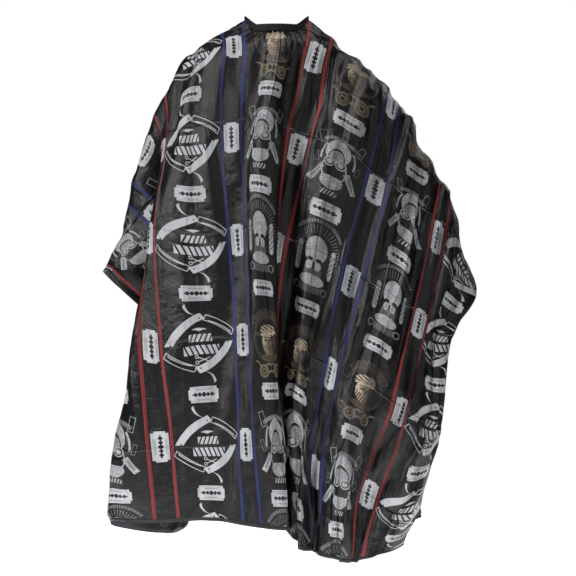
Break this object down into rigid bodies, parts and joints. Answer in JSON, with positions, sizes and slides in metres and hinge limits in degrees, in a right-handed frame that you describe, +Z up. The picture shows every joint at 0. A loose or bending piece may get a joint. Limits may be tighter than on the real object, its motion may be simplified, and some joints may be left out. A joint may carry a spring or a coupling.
{
  "type": "barber cape",
  "caption": "Long draped hairdressing cape of thin printed satin cloth, with a gathered elastic neck band that fastens at the back with press studs on a swinging tab.",
  "frame": {"origin": "middle of the neck opening, level with the front of the neck band's top edge", "axes": "+Z up along the hang of the cloth, front of the cape faces -Y, back opening faces +Y, +X to the right in the front view"},
  "size_m": [0.816, 0.3332, 1.1726],
  "materials": {
    "cape_cloth": "satin, printed",
    "hem_cloth": "satin",
    "band_cloth": "gathered satin",
    "elastic": "knitted",
    "thread": "twisted",
    "tab_cloth": "stiffened satin",
    "snap_metal": "nickel plate",
    "spring_wire": "drawn wire",
    "cap_enamel": "black enamel"
  },
  "bodies": {
    "cape": {"cape_front": "cape_cloth", "cape_back": "cape_cloth", "front_hem": "hem_cloth", "side_hem_left": "hem_cloth", "side_hem_right": "hem_cloth", "back_hem_left": "hem_cloth", "back_hem_right": "hem_cloth", "slit_facing_left": "hem_cloth", "slit_facing_right": "hem_cloth", "neck_casing": "band_cloth", "neck_elastic": "elastic", "casing_stitching": "thread", "under_tab": "tab_cloth", "over_tab_root": "tab_cloth", "root_stitching": "thread", "under_tab_tack": "thread", "stud_heads": "snap_metal", "stud_rivets": "snap_metal"},
    "over_tab": {"over_tab": "tab_cloth", "over_tab_stitching": "thread", "socket_bodies": "snap_metal", "socket_springs": "spring_wire", "socket_caps": "cap_enamel"}
  },
  "joints": [
    {"name": "tab_swing", "type": "hinge", "parent": "cape", "child": "over_tab", "pos_m": [0.03, 0.0675, -0.0085], "axis": [0, 0, -1], "range_deg": [0, 120]}
  ]
}
